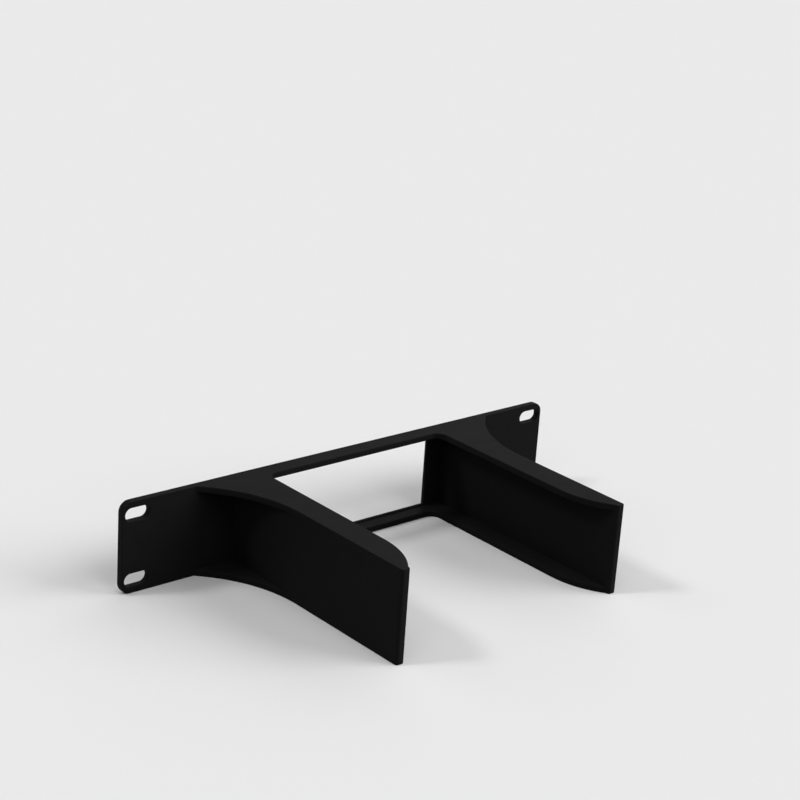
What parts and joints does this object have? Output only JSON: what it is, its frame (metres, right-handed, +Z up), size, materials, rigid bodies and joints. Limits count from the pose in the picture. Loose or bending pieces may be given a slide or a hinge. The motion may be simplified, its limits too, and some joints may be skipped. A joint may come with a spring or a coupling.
{
  "type": "rack mount bracket",
  "caption": "Slotted front panel with ears, a window and two open channel arms that carry a small appliance between them in a rack.",
  "frame": {"origin": "centre of the four-slot pattern, on the rear face of the ears, which lies against the rack posts", "axes": "+X along the panel, +Y back into the rack along the arms, +Z up"},
  "size_m": [0.254, 0.1218, 0.0444],
  "materials": {
    "black_plastic": "matte, slightly soft sheen"
  },
  "bodies": {
    "root": {"bracket": "black_plastic"}
  },
  "joints": []
}
